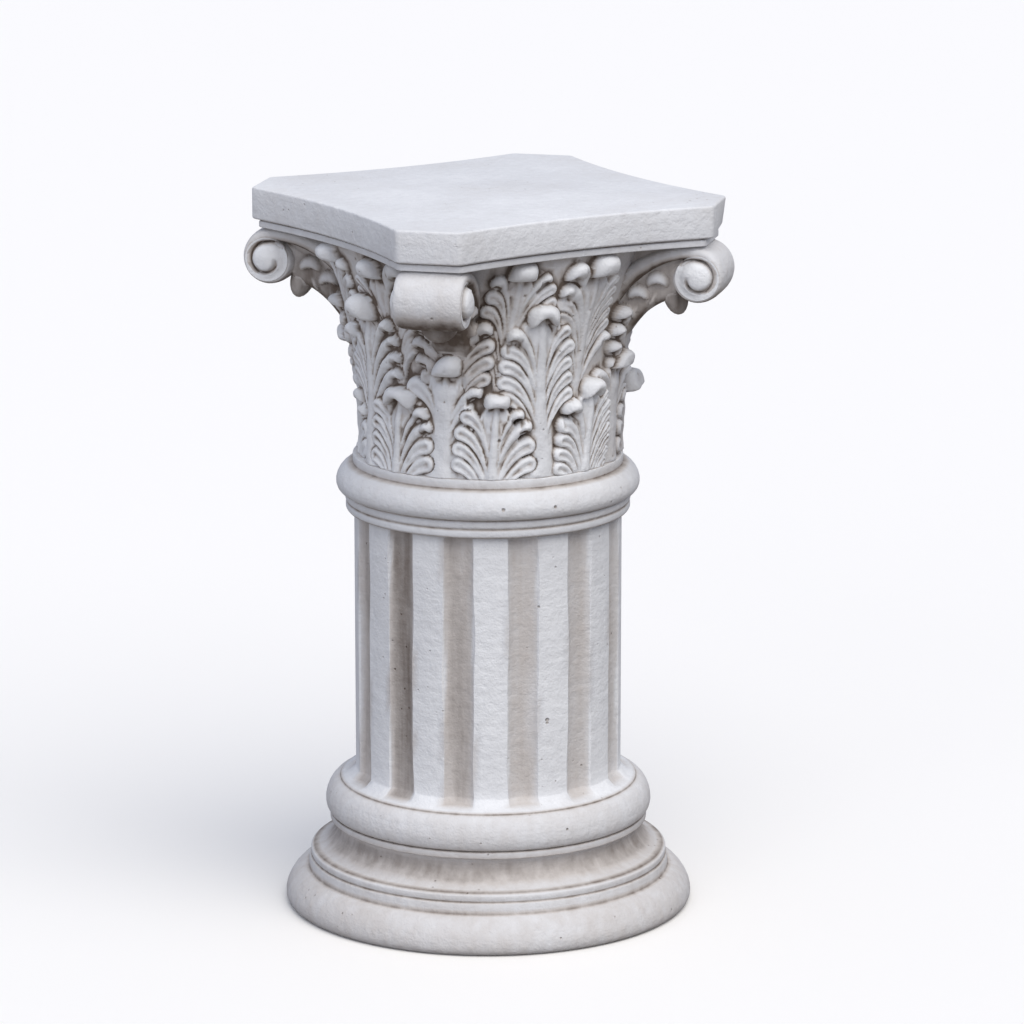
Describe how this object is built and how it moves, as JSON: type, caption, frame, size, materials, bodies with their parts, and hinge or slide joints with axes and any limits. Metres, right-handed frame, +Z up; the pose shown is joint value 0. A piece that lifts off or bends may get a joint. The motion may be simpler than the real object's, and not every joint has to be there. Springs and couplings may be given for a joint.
{
  "type": "roman column",
  "caption": "Short garden column cast in one piece: a moulded round base, a fluted shaft, a capital of curled leaves with corner scrolls, and a square top with hollow sides.",
  "frame": {"origin": "centre of the flat underside, on the column's axis", "axes": "+Z up along the column; the top slab's four sides face +X, -X, +Y and -Y, and its corners and scrolls lie on the diagonals"},
  "size_m": [0.34, 0.34, 0.6],
  "materials": {
    "cast_stone": "matte off-white painted cast stone with a thin taupe wash left in the flutes and hollows"
  },
  "bodies": {
    "root": {"column": "cast_stone"}
  },
  "joints": []
}
